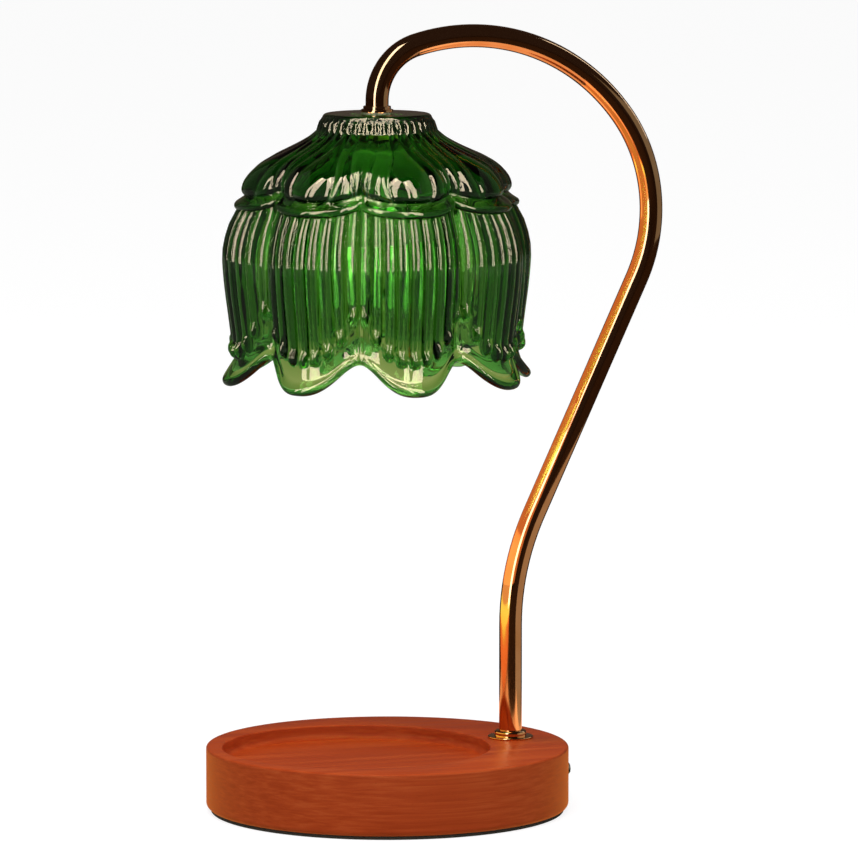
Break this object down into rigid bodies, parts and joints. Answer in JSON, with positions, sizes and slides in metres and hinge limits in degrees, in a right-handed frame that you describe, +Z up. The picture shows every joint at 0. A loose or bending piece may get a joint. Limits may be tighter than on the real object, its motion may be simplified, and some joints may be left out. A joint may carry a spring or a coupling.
{
  "type": "candle warmer lamp",
  "caption": "Candle warmer lamp: round wooden base with a sunk jar seat, bent brass arm, and a green pressed-glass flower shade over a halogen reflector lamp.",
  "frame": {"origin": "centre of the base's underside, on the surface that it stands on", "axes": "+Z up; +X from the base's centre to the arm's foot, so the arm lies in the XZ plane; the jar's seat is towards -X"},
  "size_m": [0.2066, 0.158, 0.3416],
  "materials": {
    "stained_wood": "red-brown stain under satin lacquer",
    "foam_pad": "closed-cell foam, matt",
    "fibre_cover": "moulded, fine texture",
    "zinc_steel": "zinc plated",
    "black_plastic": "moulded",
    "white_plastic": "moulded",
    "polished_brass": "polished and lacquered",
    "plain_brass": "machined",
    "lead_silicone": "smooth sleeve",
    "gasket_silicone": "smooth",
    "green_glass": "pressed and fire polished",
    "white_ceramic": "unglazed steatite",
    "nickel": "nickel plated",
    "mirror_glass": "coated inside",
    "clear_glass": "clear"
  },
  "bodies": {
    "root": {"base_body": "stained_wood", "base_pad": "foam_pad", "bottom_cover": "fibre_cover", "cover_screw_1": "zinc_steel", "cover_screw_2": "zinc_steel", "cover_screw_3": "zinc_steel", "cover_screw_4": "zinc_steel", "cord_gland": "black_plastic", "terminal_block": "white_plastic", "block_fixing_screw": "zinc_steel", "block_screw_1": "zinc_steel", "block_screw_2": "zinc_steel", "block_screw_3": "zinc_steel", "block_screw_4": "zinc_steel", "arm_tube": "polished_brass", "arm_lead": "lead_silicone", "lead_core_1": "lead_silicone", "lead_core_2": "lead_silicone", "foot_washer": "polished_brass", "foot_ring": "polished_brass", "foot_lock_washer": "zinc_steel", "foot_nut": "plain_brass", "shade_collar": "polished_brass", "upper_gasket": "gasket_silicone", "glass_shade": "green_glass", "lower_gasket": "gasket_silicone", "shade_plate": "zinc_steel", "holder_bracket": "zinc_steel", "shade_nut": "plain_brass", "lamp_holder": "white_ceramic", "holder_screw_1": "zinc_steel", "holder_screw_2": "zinc_steel", "holder_contact_1": "plain_brass", "holder_contact_2": "plain_brass"},
    "bulb": {"lamp_cap": "white_ceramic", "lamp_pin_1": "nickel", "lamp_pin_2": "nickel", "lamp_bowl": "mirror_glass", "lamp_lens": "clear_glass", "lamp_capsule": "clear_glass"}
  },
  "joints": [
    {"name": "bulb_twist", "type": "hinge", "parent": "root", "child": "bulb", "pos_m": [-0.0045, 0, 0.2666], "axis": [0, 0, 1], "range_deg": [-30, 0]}
  ]
}
